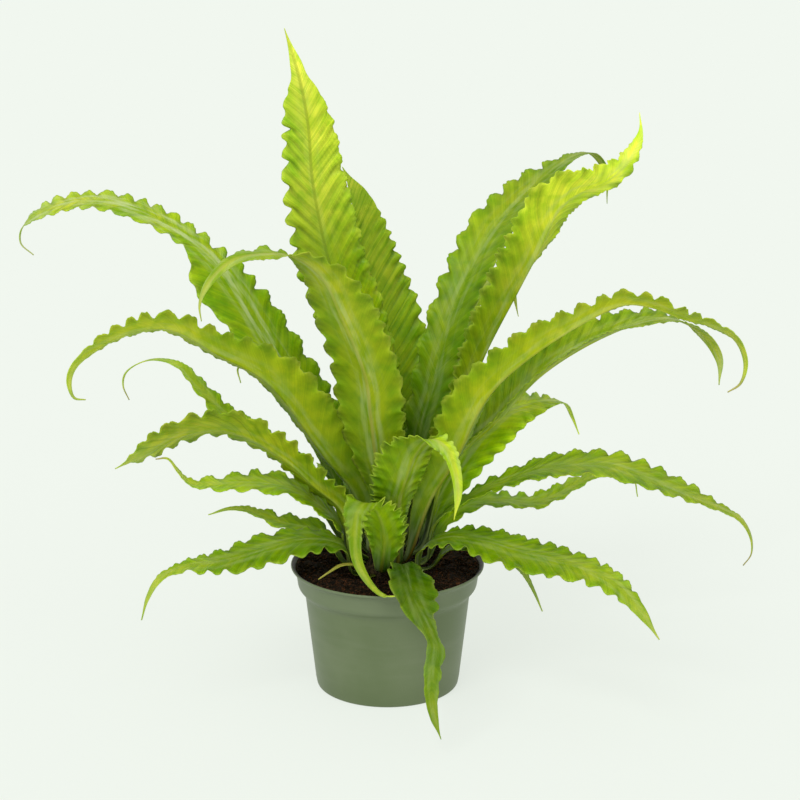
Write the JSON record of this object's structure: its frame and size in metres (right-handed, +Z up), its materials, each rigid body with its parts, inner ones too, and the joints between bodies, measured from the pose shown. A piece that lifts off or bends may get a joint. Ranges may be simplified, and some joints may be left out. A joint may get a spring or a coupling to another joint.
{
  "type": "potted fern",
  "caption": "Potted bird's nest fern: long ruffled strap fronds arch out of a dark peat in a tapered round nursery pot with a flared rim.",
  "frame": {"origin": "centre of the pot's flat foot, on the surface that it stands on", "axes": "+Z up along the pot's axis; -Y towards the viewer of the picture and +X to the viewer's right"},
  "size_m": [0.5739, 0.3622, 0.5152],
  "materials": {
    "pot_plastic": "satin moulded grey-green plastic",
    "soil": null,
    "crown": "brown scaly rhizome",
    "frond_deep": null,
    "frond_fresh": null
  },
  "bodies": {
    "root": {"pot": "pot_plastic", "soil": "soil", "crown": "crown", "frond_left_high": "frond_deep", "frond_left_middle": "frond_fresh", "frond_centre_left": "frond_fresh", "frond_tallest": "frond_fresh", "frond_behind_tallest": "frond_deep", "frond_right_back": "frond_deep", "frond_right_tip": "frond_fresh", "frond_right_long": "frond_fresh", "frond_right_under": "frond_deep", "frond_front_short": "frond_fresh", "frond_front_curl": "frond_fresh", "frond_right_middle": "frond_deep", "frond_right_low": "frond_deep", "frond_right_small": "frond_deep", "frond_right_droop": "frond_deep", "frond_right_tail": "frond_deep", "frond_over_rim": "frond_deep", "frond_left_droop": "frond_deep", "frond_left_small": "frond_deep", "frond_left_lower": "frond_deep", "frond_left_broad": "frond_deep", "frond_left_wisp": "frond_deep", "frond_back_wisp": "frond_deep", "frondlet_withered": "frond_fresh", "frond_back_high": "frond_deep", "frond_back_middle": "frond_deep", "frond_back_low": "frond_deep", "frond_back_left_low": "frond_deep"}
  },
  "joints": []
}
